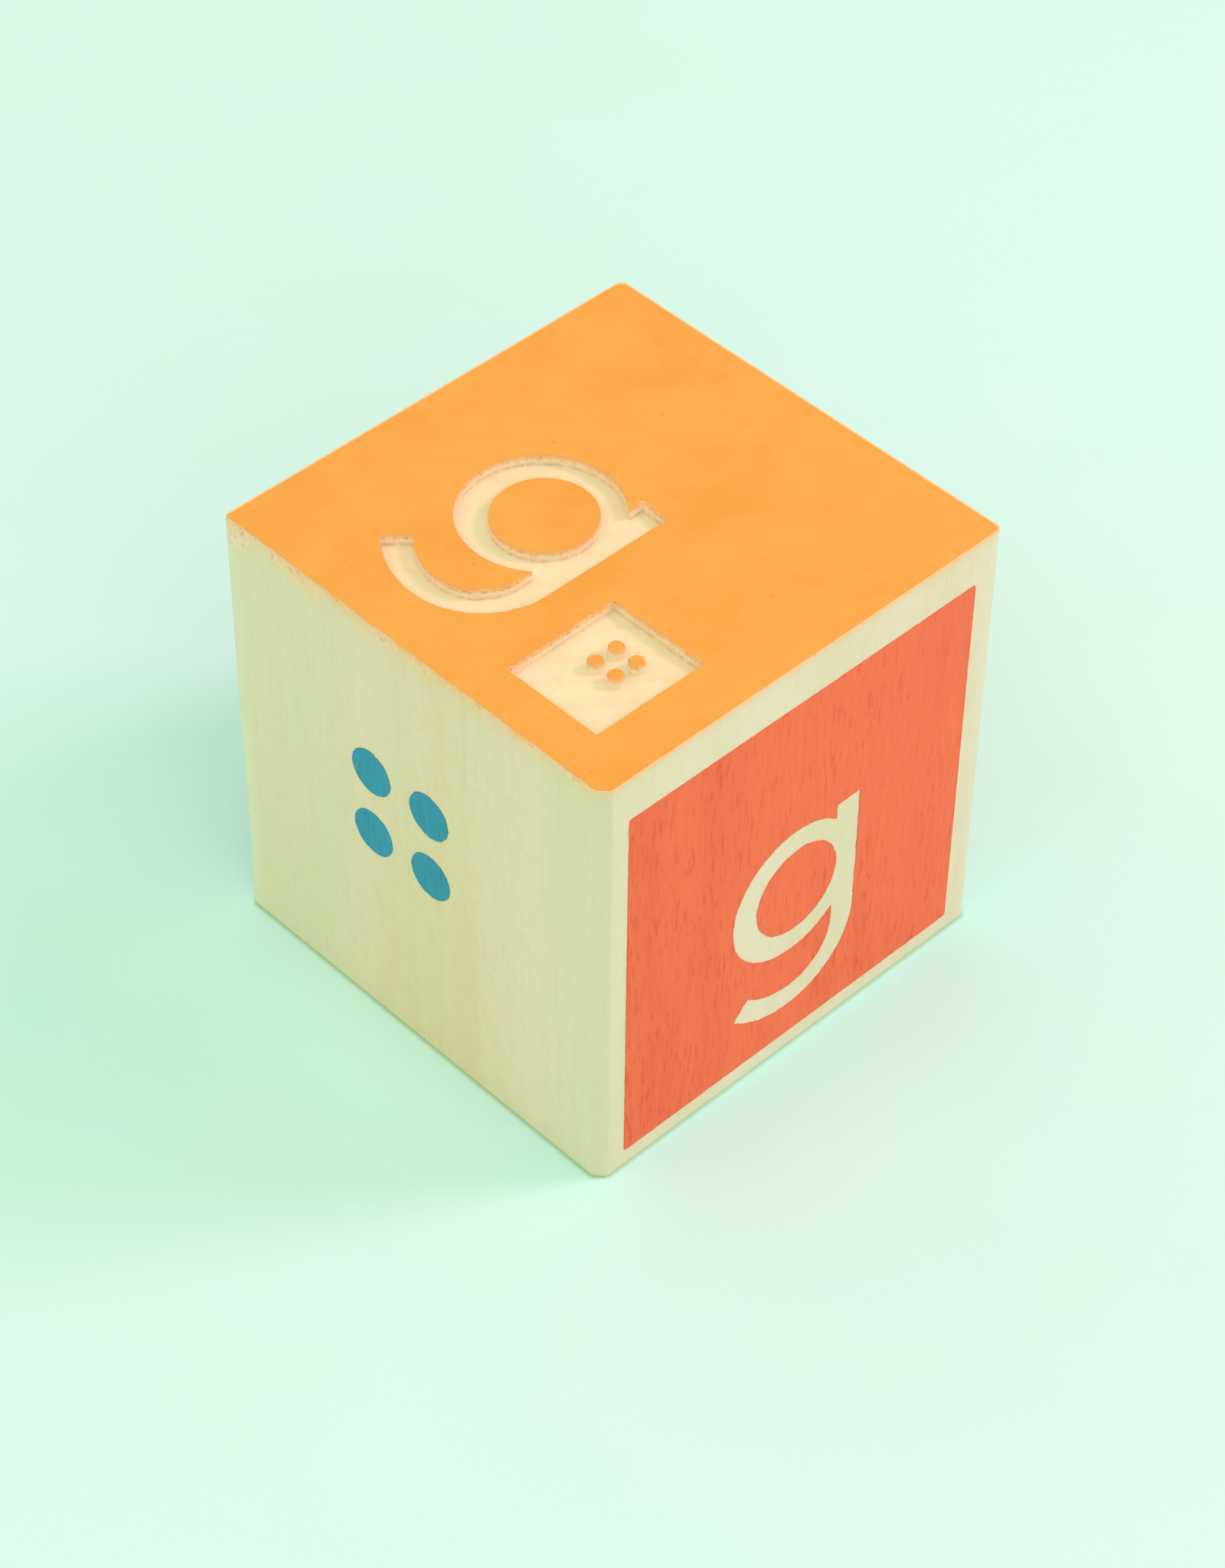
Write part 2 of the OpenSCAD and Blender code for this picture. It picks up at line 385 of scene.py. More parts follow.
def fill(loops, loose=()):
    """Triangles of the flat region inside the first loop and outside the rest, through the loose
    points as well. Returns the points, the loops' first, and the triangles."""
    points = np.concatenate([*loops, *loose]) / MM
    edges = []
    start = 0
    for loop in loops:
        order = start + np.arange(len(loop))
        edges += np.stack([order, np.roll(order, -1)], 1).tolist()
        start += len(loop)
    flat = [Vector(point) for point in points.tolist()]
    # Output type 1 keeps what lies inside the edges; points closer than the last number are one.
    found = delaunay_2d_cdt(flat, edges, [], 1, 1e-6)
    if not all(found[3]):
        raise ValueError("two outlines cross")
    source = np.array([origins[0] for origins in found[3]])
    triangles = source[np.array(found[2])]
    middles = points[triangles].mean(axis=1)
    keep = inside(middles, [loop / MM for loop in loops])
    return points * MM, triangles[keep]


def on_floor(flat):
    """Flat points as points of the room, at the height of the floor."""
    return np.hstack([flat, np.zeros((len(flat), 1))])


class Shell:
    """Gathers grids and filled plates, and welds them into one closed mesh. Every point has a wear:
    above 0 where the wood is torn or crushed, below 0 where ink ran over an edge. In the carving
    the wear also deepens the painted shade along the foot of a wall."""

    def __init__(self):
        self.points = []
        self.faces = []
        self.finishes = []
        self.wear = []
        self.count = 0

    def add(self, points, *arrays, finish=0, wear=0.0):
        """Adds points with arrays of faces, the finish of those faces, and the wear of each point."""
        self.points.append(points)
        self.wear.append(np.broadcast_to(wear, len(points)))
        for faces in arrays:
            self.faces += (faces + self.count).tolist()
            self.finishes += [finish] * len(faces)
        self.count += len(points)

    def band(self, rows, finish=0, wear=0.0):
        """A profile carried round a closed path: row by row of points, with a square face between
        each four neighbours."""
        high, wide = rows.shape[:2]
        index = np.arange(high * wide).reshape(high, wide)
        beside = np.roll(index, -1, axis=1)
        squares = np.stack([index[:-1], beside[:-1], beside[1:], index[1:]], 2)
        wear = np.broadcast_to(wear, rows.shape[:2]).reshape(-1)
        self.add(rows.reshape(-1, 3), squares.reshape(-1, 4), finish=finish, wear=wear)

    def build(self, name, replaced, materials, crease=35):
        """Welds the points, turns all faces outwards and makes the object."""
        points = np.concatenate(self.points)
        wear = np.concatenate(self.wear)
        weld = 1e-5 * MM
        keys = np.round(points / weld).astype(np.int64)
        found, first, welded = np.unique(keys, axis=0, return_index=True, return_inverse=True)
        welded = welded.reshape(-1)
        worst = np.zeros(len(found))
        np.maximum.at(worst, welded, wear)
        np.minimum.at(worst, welded, wear)
        faces = []
        finishes = []
        for face, finish in zip(self.faces, self.finishes):
            corner = list(dict.fromkeys(welded[face].tolist()))
            if len(corner) > 2:
                faces.append(corner)
                finishes.append(finish)
        mesh = bpy.data.meshes.new(name)
        mesh.from_pydata(points[first].tolist(), [], faces)
        mesh.polygons.foreach_set("material_index", finishes)
        mesh.attributes.new("wear", "FLOAT", "POINT").data.foreach_set("value", worst)
        shape = bmesh.new()
        shape.from_mesh(mesh)
        bmesh.ops.recalc_face_normals(shape, faces=shape.faces)
        shape.to_mesh(mesh)
        shape.free()
        mesh.shade_smooth()
        mesh.set_sharp_from_angle(angle=math.radians(crease))
        piece = bpy.data.objects.new(name, mesh)
        bpy.context.scene.collection.objects.link(piece)
        for material in materials:
            mesh.materials.append(material)
        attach(piece, BODY)
        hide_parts(*replaced)


# Finishes


class Value:
    """A number that a material works out: its operators add Math nodes."""

    def __init__(self, finish, socket):
        self.finish = finish
        self.socket = socket

    def maths(self, operation, *others):
        """A Math node with this value first."""
        terms = dict(enumerate((self, *others)))
        return self.finish.node("ShaderNodeMath", {"operation": operation}, terms)

    def __add__(self, other):
        return self.maths("ADD", other)

    def __sub__(self, other):
        return self.maths("SUBTRACT", other)

    def __rsub__(self, other):
        return -self + other

    def __mul__(self, other):
        return self.maths("MULTIPLY", other)

    def __truediv__(self, other):
        return self.maths("DIVIDE", other)

    def __pow__(self, other):
        return self.maths("POWER", other)

    def __neg__(self):
        return self * -1

    def __abs__(self):
        return self.maths("ABSOLUTE")

    __radd__ = __add__
    __rmul__ = __mul__

    def ease(self, low, high):
        """0 below low, 1 above high, and a smooth step between."""
        settings = {"interpolation_type": "SMOOTHSTEP"}
        return self.finish.node("ShaderNodeMapRange", settings, {0: self, 1: low, 2: high})


class Finish:
    """A material whose nodes are added one by one."""

    def __init__(self, name):
        self.material = bpy.data.materials.new(name)
        self.material.use_nodes = True
        self.tree = self.material.node_tree
        self.shader = self.tree.nodes["Principled BSDF"]
        self.place = self.node(
            "ShaderNodeVectorMath", {"operation": "SCALE"},
            {0: self.node("ShaderNodeTexCoord", output="Object"), "Scale": 1 / MM})

    def node(self, kind, settings=None, inputs=None, output=0):
        """Adds a node of any kind: first its settings, then its sockets' values or links."""
        made = self.tree.nodes.new(kind)
        for key, value in (settings or {}).items():
            setattr(made, key, value)
        for key, value in (inputs or {}).items():
            self.feed(made.inputs[key], value)
        return Value(self, made.outputs[output])

    def feed(self, socket, value):
        """Links a worked-out value to a socket, or sets a constant on it."""
        if isinstance(value, Value):
            self.tree.links.new(value.socket, socket)
        elif socket.type == "RGBA":
            socket.default_value = (*value[:3], 1)
        else:
            socket.default_value = value

    def noise(self, scale, detail=2.0, roughness=0.5):
        """Soft noise from 0 to 1, with so many waves to a millimetre, or so many along X, Y and Z."""
        scale = scale if isinstance(scale, tuple) else (scale,) * 3
        place = self.node("ShaderNodeVectorMath", {"operation": "MULTIPLY"}, {0: self.place, 1: scale})
        inputs = {"Vector": place, "Scale": 1.0, "Detail": detail, "Roughness": roughness}
        return self.node("ShaderNodeTexNoise", {"noise_dimensions": "3D"}, inputs)

    def over(self, tone, *layers):
        """A colour with others laid over it in turn, each as strongly as its mask says."""
        for mask, shade in layers:
            inputs = {0: mask, 6: tone, 7: shade}
            tone = self.node("ShaderNodeMix", {"data_type": "RGBA"}, inputs, output=2)
        return tone

    def across(self):
        """The place's X, Y and Z, in millimetres."""
        split = self.node("ShaderNodeSeparateXYZ", inputs={0: self.place})
        outputs = split.socket.node.outputs
        return [Value(self, socket) for socket in outputs]

    def done(self, tone, roughness, height, reach, specular=0.3):
        """Feeds the shader: colour, roughness, and a bump whose height reaches so many millimetres."""
        bump = self.node("ShaderNodeBump", inputs={"Height": height, "Distance": reach * MM})
        fed = {"Base Color": tone, "Roughness": roughness, "Normal": bump,
               "Specular IOR Level": specular}
        for socket, value in fed.items():
            self.feed(self.shader.inputs[socket], value)
        return self.material


# Where the tree's heart was, seen from above and from the block's middle, in millimetres
HEART = (78.0, 84.0)
RING_GAP = 2.9

# Where the wood's looks come in, from none to full, in millimetres from the block's middle: its
# left side by -X, its front left flat by -X - Y, the painted reflection of the paper beside the
# front right and back left edges by |X - Y|, the top's rim by the larger of |X| and |Y|, and the
# block's upper end by Z
LEFT_SPAN = (21.2, 22)
FLAT_SPAN = (42.9, 43.15)
REFLECTION_SPAN = (42.0, 43.8)
RIM_SPAN = (21.5, 21.7)
UPPER_SPAN = (40, 44)


def rings(finish):
    """Yearly rings round the heart: the distance to it, wavering slowly, over the gap, as a saw
    whose late wood darkens slowly and stops short, and each stretch of a ring as faint or strong
    as a slow noise says."""
    x, y, _ = finish.across()
    waver = finish.noise((0.05, 0.05, 0.008)) * 7 + finish.noise((0.5, 0.5, 0.02)) * 0.5
    away = ((x - HEART[0]) ** 2 + (y - HEART[1]) ** 2) ** 0.5 + waver
    turns = (away / RING_GAP).maths("FRACT")
    strength = finish.noise((0.11, 0.11, 0.02), 1.0).ease(0.35, 0.65)
    return turns.ease(0.3, 0.9) * (1 - turns.ease(0.93, 1.0)) * strength


def worn_part(finish):
    """The wear of each point, from the mesh."""
    return finish.node("ShaderNodeAttribute", {"attribute_name": "wear"}, output="Fac")


def long_grain(colours):
    """Planed side of the block. It is warm through the middle, by a bell curve of Y that fades
    upwards, with faint bands, rings cut lengthwise and fine upright streaks. The front left flat
    is a little darker, and beside the front right and back left edges a painted reflection of the
    green paper makes the wood paler and greener. Under the top edge it is stained by the coat, by
    a power of e that falls with the depth and wavers on the left side, where torn pink and pale
    patches lie over the stain. Just above the floor a painted contact shade darkens it, tinted
    green by the paper."""
    finish = Finish("basswood_side")
    broad = finish.noise((0.05, 0.05, 0.012), 1.0)
    bands = finish.noise((0.35, 0.35, 0.01), 1.5)
    cool = finish.noise((0.13, 0.13, 0.03), 2.0)
    streaks = finish.noise((2.6, 2.6, 0.16), 3.0, 0.6)
    vessels = finish.noise((6, 6, 0.9), 1.0)
    mottle = finish.noise((0.9, 0.9, 0.5), 3.0, 0.6)
    x, y, z = finish.across()
    left = (-x).ease(*LEFT_SPAN)
    flat = (-(x + y)).ease(*FLAT_SPAN)
    edges = abs(x - y).ease(*REFLECTION_SPAN)
    heart = (-((y + 3) / 9) ** 2).maths("EXPONENT") * (1.15 - z / 90)
    aside = abs(y + 3).ease(8, 18)
    warmth = (heart * 0.5 + left * 0.12 + broad.ease(0.3, 0.7) * 0.2 + bands.ease(0.25, 0.75) * 0.18
              + rings(finish) * 0.1 + mottle.ease(0.4, 0.7) * 0.22)
    cooler = cool.ease(0.4, 0.75) * 0.3 + aside * (x * -0.006 + 0.17) + left * 0.1
    wear = worn_part(finish)
    patches = finish.noise((0.7, 0.7, 0.8), 3.0, 0.6)
    lumps = finish.noise((1.9, 1.9, 1.5), 3.0, 0.6)
    frayed = wear.ease(0, 0.45)
    depth = (z - SIZE[2] / MM) / (left * 0.55 + 0.35)
    waver = ((lumps - 0.5) * 3 + (patches - 0.5) * 3) * left
    soaked = (depth + waver).maths("EXPONENT") * (0.6 - left * abs(y).ease(8, 20) * 0.22)
    tone = finish.over(
        colours.wood_pale,
        (warmth, colours.wood_warm),
        (cooler, colours.wood_cool),
        (flat * 0.12, colours.wood_fleck_and_shade),
        # Painted reflection of the paper beside the front right and back left edges
        (edges * 0.27, colours.rim_reflection),
        (streaks.ease(0.5, 0.8) * 0.13, colours.wood_fleck_and_shade),
        (vessels.ease(0.66, 0.76) * 0.2, colours.wood_fleck_and_shade),
        (frayed * (patches.ease(0.3, 0.65) * 0.5 + 0.3), colours.torn_rim),
        (soaked.maths("MINIMUM", 0.85), colours.wood_stained),
        (frayed * lumps.ease(0.48, 0.75) * 0.6, colours.torn_pale),
        (frayed * lumps.ease(0.46, 0.3) * 0.5, colours.torn_dark_and_shade),
        ((-wear).ease(0, 1), colours.orange),
        # Painted contact shade just above the floor, green from the paper, stronger on the left side
        (z.ease(0.5, 0.1) * (left * 0.3 + 0.2), colours.contact_shade))
    height = streaks * 0.6 + vessels * 0.4
    return finish.done(tone, 0.62 + streaks * 0.12, height, 0.02)


def end_grain(colours):
    """Cut across the fibres: faint rings, fine pores and a cutter's soft smears, a little darker
    along the foot of a rough carved wall, partly crushed fibres and partly painted crevice shade,
    and stained beside the top's edge, where the coat ends."""
    finish = Finish("basswood_end")
    blotches = finish.noise(0.25, 2.0)
    pores = finish.noise(8, 2.0, 0.6)
    smears = finish.noise(0.9, 3.0, 0.6)
    crushed = finish.noise(1.4, 3.0, 0.6).ease(0.36, 0.6)
    x, y, z = finish.across()
    outer = abs(x).maths("MAXIMUM", abs(y))
    warmth = rings(finish) * 0.35 + blotches.ease(0.35, 0.7) * 0.3 + smears.ease(0.45, 0.75) * 0.25
    tone = finish.over(
        colours.end_pale,
        (warmth, colours.end_warm),
        (pores.ease(0.55, 0.75) * 0.12, colours.wood_fleck_and_shade),
        # Partly crushed fibres, partly painted crevice shade along the foot of a rough carved wall
        (worn_part(finish).ease(0.1, 0.9) * crushed * 0.12, colours.torn_dark_and_shade),
        (outer.ease(*RIM_SPAN) * z.ease(*UPPER_SPAN) * 0.5, colours.wood_stained))
    return finish.done(tone, 0.66 + pores * 0.1, pores, 0.02)


def cut_wall(colours, depth):
    """Wall of a cut along the fibres: pale where it is clean, pink in clumps, tan towards its foot
    with a soft broken dark line at the foot, both partly crushed fibres and partly painted shade
    of the recess, stronger on the rough side; dark specks below its rim where it is rough, and
    orange where ink soaked in or ran over the rim."""
    finish = Finish("basswood_cut")
    down = ((finish.across()[2] - SIZE[2] / MM) * (-MM / depth)).ease(0, 1)
    fibres = finish.noise((3.5, 3.5, 0.8), 3.0, 0.6)
    clumps = finish.noise(0.8, 2.0)
    crushed = finish.noise(1.4, 3.0, 0.6).ease(0.4, 0.65)
    specks = finish.noise(1.8, 3.0, 0.6).ease(0.5, 0.64)
    wear = worn_part(finish)
    rough = wear.ease(0, 1)
    stain = 0.4 - down.ease(0.05, 0.7) * 0.4 + down.ease(0.25, 0) * 0.25
    tone = finish.over(
        colours.torn_pale,
        (clumps.ease(0.45, 0.65) * 0.6, colours.torn_pink),
        (fibres.ease(0.45, 0.8) * 0.1, colours.wood_fleck_and_shade),
        # Painted shade of the recess, partly real fleck: tan growing towards the wall's foot, more on the
        # rough side
        (down.ease(0.25, 0.85) * (rough * 0.18 + 0.05), colours.wood_fleck_and_shade),
        # Soft broken dark line at the wall's foot: partly crushed fibres, partly painted crevice shade
        (down.ease(0.72, 0.95) * crushed * (rough * 0.28 + 0.04), colours.torn_dark_and_shade),
        (down.ease(0.6, 0.1) * specks * wear.ease(0.1, 0.7) * 0.75, colours.torn_dark_and_shade),
        (stain, colours.orange),
        ((-wear).ease(0, 1), colours.orange))
    return finish.done(tone, 0.75, fibres, 0.03)


def ink(name, hue, colours, show):
    """Ink on wood, thicker towards -X: the grain below shows as darker upright dashes, denser in
    some stretches, with broad patches of thicker ink and a thin line of it along the edge."""
    finish = Finish(name)
    patches = finish.noise((0.13, 0.13, 0.07), 2.0)
    bands = finish.noise((0.4, 0.4, 0.02), 2.0)
    thick = (-finish.across()[0]).ease(-2, 18)
    dense = finish.noise((0.12, 0.12, 0.05), 1.0).ease(0.35, 0.65) * 0.5 + thick * 0.5
    streaks = finish.noise((2.6, 2.6, 0.3), 3.0, 0.6)
    dashes = finish.noise((3.2, 3.2, 0.42), 2.0, 0.6)
    depth = patches.ease(0.3, 0.7) * 0.2 + bands.ease(0.35, 0.7) * 0.25 + thick * 0.2
    depth = depth + streaks.ease(0.45, 0.75) * (dense * 0.3 + 0.25)
    depth = (depth + dashes.ease(0.56, 0.68) * (dense * 0.65 + 0.32)) * show
    depth = (depth + worn_part(finish) * 0.35).maths("MINIMUM", 1)
    tone = finish.over(getattr(colours, hue), (depth, getattr(colours, f"{hue}_deep")))
    return finish.done(tone, 0.5 + streaks * 0.12, streaks * show, 0.02)


def coat_ink(colours):
    """The coat on the end grain: nearly even, with faint darker blotches, thin lines where the
    yearly rings lie under it, and a few tiny dark spots."""
    finish = Finish("orange_coat")
    blotches = finish.noise(0.13, 3.0, 0.55)
    spots = finish.noise(0.45, 2.0)
    pores = finish.noise(7, 1.0)
    pits = finish.noise(1.7, 1.0)
    depth = (blotches.ease(0.42, 0.75) * 0.6 + spots.ease(0.6, 0.8) * 0.2
             + rings(finish) * 0.08 + pores.ease(0.55, 0.8) * 0.1)
    tone = finish.over(
        colours.orange,
        (depth.maths("MINIMUM", 1), colours.orange_deep),
        (pits.ease(0.75, 0.8) * 0.3, colours.coat_pit))
    return finish.done(tone, 0.52 + pores * 0.1, pores, 0.008, 0.35)


# Pieces


class Cut:
    """One outline of the carving. Its land is the wood beside it: outside the letter and the
    pocket, inside an island. A wall is rough from 0 to 1 by how squarely its land lies on the
    rough side, times the cut's worst, and rougher near its weak spots, by a Gaussian of the
    distance. The rim is broken out by the sum of a long and a short wander, and near a sharp
    corner of the land the break fades, so that the rim never crosses itself."""

    def __init__(self, seed, loop, sizes, island=False, worst=0.0, spots=(), run=0.0):
        step = sizes.step
        self.run = run
        self.crest = DOT_CREST if run else 0
        self.rng = np.random.default_rng(seed)
        self.loop = loop
        self.land = outward(loop) * (-1 if island else 1)
        bend = np.roll(self.land, -1, axis=0) - self.land
        along = np.roll(loop, -1, axis=0) - loop
        sharp = loop[(bend * along).sum(axis=1) < -0.15 * step]
        self.calm = np.ones(len(loop))
        if len(sharp):
            self.calm = 1 - np.exp(-(closest(loop, [sharp])[0] / CALM_REACH) ** 2)
        facing = soften(smooth(self.land @ ROUGH_SIDE * 1.5), step, 0.3 * MM)
        self.facing = np.clip(facing, 0, 1)
        self.rough = self.facing * worst
        for spot in spots:
            away = np.linalg.norm(loop - spot, axis=1)
            self.rough = np.maximum(self.rough, np.exp(-(away / SPOT_REACH) ** 2))
        long_waves = wander_along(self.rng, loop, step, 0.4)
        short_waves = wander_along(self.rng, loop, step, 0.1)
        broken = np.clip(0.3 + 0.45 * long_waves + 0.4 * short_waves, 0, 2.2)
        self.broken = sizes.tear * (0.05 + self.rough * broken * self.calm)
        self.rim = loop + (self.broken + self.crest)[:, None] * self.land

    def coat_edge(self, step, amount):
        """The coat's edge: the rim moved on into the land, more where the rim is rough."""
        chips = np.clip(0.3 + 0.5 * wander_along(self.rng, self.loop, step, 0.13), 0, 1.6)
        back = COAT_GAP + amount * self.rough * chips * self.calm
        return self.rim + back[:, None] * self.land

    def wall(self, shell, sizes):
        """The cut's wall: from the broken rim down to the floor, each point is pushed into the
        land by the break times a falling power of the depth, plus the fibres' relief and, on a
        raised dot, a rounded crest. Its wear is minus the ink that ran down over the rim, which
        wavers and fades with the depth, and below that how much it faces the rough side."""
        fibre = wander(
            self.rng, (len(WALL_ROWS), len(self.loop)), (0.09 * MM, sizes.step), (0.5 * MM, 0.09 * MM))
        depths = WALL_ROWS[:, None]
        relief = np.sin(math.pi * depths) * fibre * (0.002 + 0.02 * self.rough) * self.calm * MM
        crest = self.crest * (1 - np.sqrt(np.clip(depths / 0.1, 0, 1)))
        push = self.broken * (1 - depths) ** 3 + relief + crest
        flat = self.loop[None] + push[..., None] * self.land[None]
        runs = 1 + 0.35 * wander_along(self.rng, self.loop, sizes.step, 0.3)
        ran = smooth(1.5 - 1.2 * depths / (runs * (0.02 + self.run)))
        # This wear grows down the wall and also sets how deep the painted shade towards the foot is
        worn = self.facing * smooth(depths / 0.3)
        if self.run:
            worn = worn * 0.8 * (1 - depths) ** 0.5
        wear = np.where(ran > 0, -ran * (1.0 if self.run else 0.3), worn)
        shell.band(TOP.place(flat, -sizes.carve_depth * depths), finish=2, wear=wear)


def carved_floor(rng, shell, cuts, sizes):
    """The floor of a cut: a flat region with a loose grid of points, raised a little by chance,
    and more where stubs of fibre were left along a rough wall."""
    gap = 0.18 * MM
    loops = [cut.loop for cut in cuts]
    low = np.min(loops[0], axis=0)
    high = np.max(loops[0], axis=0)
    columns, lines = np.meshgrid(np.arange(low[0], high[0], gap), np.arange(low[1], high[1], gap))
    grid = np.stack([columns.ravel(), lines.ravel()], 1)
    grid = grid + rng.uniform(-0.3, 0.3, grid.shape) * gap
    grid = grid[inside(grid, loops)]
    grid = grid[closest(grid, loops)[0] > 0.07 * MM]
    points, triangles = fill(loops, [grid])
    away, which = closest(points, loops)
    rough = np.concatenate([cut.facing for cut in cuts])[which]
    stubs = np.exp(-(away / (0.12 * MM)) ** 2) * rough
    chance = rng.standard_normal(len(points))
    rise = (0.003 * chance + 0.08 * stubs * np.clip(chance, 0, 2)) * MM
    rise[:-len(grid)] = 0
    # The stubs' wear also darkens the floor along a rough wall's foot, partly as painted crevice shade
    shell.add(TOP.place(points, rise - sizes.carve_depth), triangles, finish=1, wear=stubs)


def carving(scene):
    """The cuts in the top face, by name: the letter, its round hole, the pocket and its dots.
    Their places come from the coat's nodes in the frame."""
    sizes = scene.block_sizes
    letter = scene.block_letter
    step = sizes.step
    middle, radius = node_circle(TOP, "top_coat_counter")
    outline = letter_outline(letter, middle, letter.carved_spread, letter.carved_sweep, step)
    dots = [node_circle(TOP, f"dot_cap_{index}") for index in range(1, 5)]
    low = np.min([dot[0] for dot in dots], axis=0)
    high = np.max([dot[0] for dot in dots], axis=0)
    # The dots fill the upper two of the cell's three rows, so the pocket's middle is lower.
    cell = (low + high) / 2 - np.array([0, (high[1] - low[1]) / 2])
    pocket = box_outline(cell, sizes.pocket_width, sizes.pocket_height, 0.1 * MM, step)
    stem = middle + [letter.stem_reach - letter.stem_width / 2, letter.stem_rise]
    stem_ends = [stem - [letter.stem_width / 3, 0], stem + [letter.stem_width / 3, 0]]
    half = np.array([sizes.pocket_width, sizes.pocket_height]) / 2
    weak = [cell + half * sign for sign in ([-1, -1], [-1, 1], [1, 1])]
    cuts = {
        "letter": Cut(21, soften(outline, step, 0.07 * MM), sizes, worst=0.28, spots=stem_ends),
        "counter": Cut(22, circle(middle, radius, step), sizes, island=True, worst=0.12),
        "pocket": Cut(23, soften(pocket, step, 0.06 * MM), sizes, worst=0.46, spots=weak),
    }
    for index, dot in enumerate(dots):
        loop = circle(*dot, step / 2)
        cuts[f"dot_{index + 1}"] = Cut(24 + index, loop, sizes, island=True, run=DOT_RUN)
    return cuts


def rows_up(sizes):
    """The heights at which the block's outline is repeated: over the worn foot, up the middle, in
    fine steps below the top, and over the worn top edge. Returns them, and how far the outline
    is worn back at each, as a quarter round."""
    height = SIZE[2]
    middle = np.linspace(3 * MM, height - 3 * MM, 9)
    below = np.concatenate([FINE_ROWS[::-1], EDGE_ROWS[::-1] * sizes.arris])
    heights = np.concatenate([EDGE_ROWS * sizes.foot, middle, height - below])
    reach = np.where(heights < height / 2, sizes.foot, sizes.arris)
    gone = 1 - np.clip(np.minimum(heights, height - heights) / reach, 0, 1)
    return heights, reach * (1 - np.sqrt(1 - gone ** 2))


def side_walls(sizes):
    """The block's four sides: the outline from above carried from the bottom to the top, worn back
    at both ends, less so at the foot away from the left side, and torn back under the top edge
    of the left side. The torn band's height wavers and grows towards the far corner. Returns
    the rows of points, and how torn each one is, or minus how much ink ran over it."""
    rng = np.random.default_rng(7)
    step = 2 * sizes.step
    outline = soften(block_outline(sizes, step), step, 0.05 * MM)
    out = outward(outline)
    heights, inset = rows_up(sizes)
    left = np.clip(-out[:, 0], 0, 1) ** 12
    long_waves = wander_along(rng, outline, step, 0.7)
    short_waves = wander_along(rng, outline, step, 0.2)
    part = np.clip(0.62 + 0.2 * long_waves + 0.2 * short_waves, 0.25, 1.2)
    part = part * (0.85 + 0.35 * outline[:, 1] / HIGH[1])
    part = part + 0.5 * smooth((outline[:, 1] - HIGH[1] + 4 * MM) / (4 * MM))
    band = np.maximum(sizes.torn_band * part * left, 1e-6)
    fibre = wander(rng, (len(heights), len(outline)), (0.1 * MM, step), (0.6 * MM, 0.1 * MM))
    below = (SIZE[2] - heights)[:, None]
    torn = smooth(2.5 * (1 - below / band[None])) * left
    ran = smooth(1.6 - below / (0.035 * MM)) * (0.22 + 0.23 * left)
    nibble = 0.05 * sizes.arris * wander_along(rng, outline, step, 0.15)
    low = (heights < SIZE[2] / 2)[:, None]
    inset = inset[:, None] * np.where(low, 0.4 + 0.6 * left, 1)
    inset = inset + torn * (0.03 + 0.022 * np.clip(fibre, -1.3, 2)) * MM
    inset = inset + (below < 0.05 * MM) * nibble
    flat = outline[None] - inset[..., None] * out[None]
    level = np.broadcast_to(heights[:, None, None], (*flat.shape[:2], 1))
    return np.concatenate([flat, level], axis=2), np.where(ran > 0, -ran, torn)


def on_top(row):
    """A row of the sides' points, as the reader of the top face sees them."""
    return np.stack([-row[:, 1], row[:, 0]], 1)


def rim_fibres(rng, shell, cuts, sizes):
    """Loose ends of fibre along the rough rims of the cuts, rooted in the walls and leaning into
    the cut. Each is a three-sided blade with four stations that narrows to a point, bent over by
    the square of the way along it."""
    count, stations, sides = sizes.fibres, 4, 3
    line, land, rough = (
        np.concatenate([getattr(cut, name) for cut in cuts]) for name in ("rim", "land", "rough"))
    chosen = rng.choice(len(line), count, p=rough / rough.sum())
    drop = -rng.uniform(0.0, 0.75, count) ** 1.6 * sizes.carve_depth
    roots = TOP.place(line[chosen] + land[chosen] * 0.01 * MM, drop)
    sway = rng.uniform(-0.8, 0.8, (count, 1))
    lean = -land[chosen] + sway * land[chosen][:, ::-1] * [1, -1]
    lean = lean * rng.uniform(0.06, 0.22, (count, 1)) * MM
    leans = TOP.place(lean) - TOP.middle
    rises = np.zeros((count, 3))
    rises[:, 2] = rng.uniform(-0.12, 0.04, count) * MM
    width = rng.uniform(0.018, 0.05, count) * MM
    along = np.linspace(0, 1, stations)
    spine = (roots[:, None] + rises[:, None] * along[None, :, None]
             + leans[:, None] * (along ** 2)[None, :, None])
    side = np.cross(leans, rises)
    side = side / np.linalg.norm(side, axis=1, keepdims=True)
    flat = leans / np.linalg.norm(leans, axis=1, keepdims=True)
    spin = (np.arange(sides) * 2 * math.pi / sides)[None, :, None]
    girth = np.cos(spin) * side[:, None] * 2.2 + np.sin(spin) * flat[:, None]
    narrow = width[:, None] * (1.02 - along ** 1.5)
    points = spine[:, :, None] + narrow[..., None, None] * girth[:, None]
    index = np.arange(count * stations * sides).reshape(count, stations, sides)
    beside = np.roll(index, -1, axis=2)
    squares = np.stack([index[:, :-1], beside[:, :-1], beside[:, 1:], index[:, 1:]], 3)
    ends = np.concatenate([index[:, 0, ::-1], index[:, -1]])
    shell.add(points.reshape(-1, 3), squares.reshape(-1, 4), ends, finish=2, wear=0.1)


